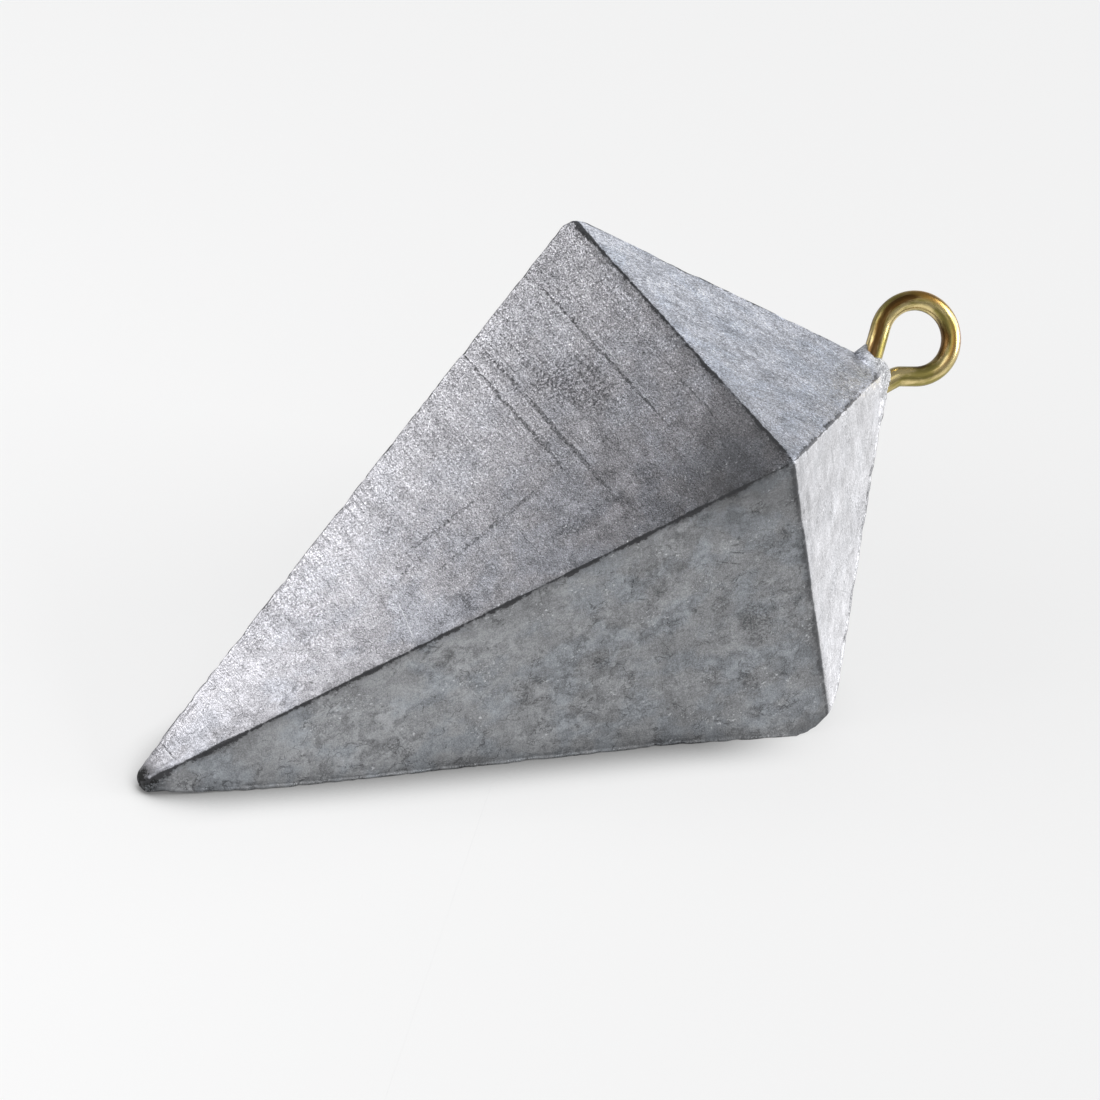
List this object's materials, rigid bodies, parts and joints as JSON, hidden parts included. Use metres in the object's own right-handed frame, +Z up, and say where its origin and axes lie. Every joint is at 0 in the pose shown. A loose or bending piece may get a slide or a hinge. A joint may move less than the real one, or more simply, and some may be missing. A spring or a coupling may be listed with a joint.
{
  "type": "fishing sinker",
  "caption": "Four-sided pyramid fishing sinker: a lead casting with a long point, a short shoulder and a cast-in brass wire eye for the line.",
  "frame": {"origin": "on the ground under the middle of the bounding box of the sinker as it lies on one long face", "axes": "+X along the sinker from its point to its eye, +Z up from the ground, +Y across"},
  "size_m": [0.0686, 0.03, 0.0287],
  "materials": {
    "lead": "dull grey cast lead, finely scratched",
    "brass_wire": "drawn wire, tarnished in streaks"
  },
  "bodies": {
    "root": {"lead_body": "lead", "wire_eye": "brass_wire"}
  },
  "joints": []
}
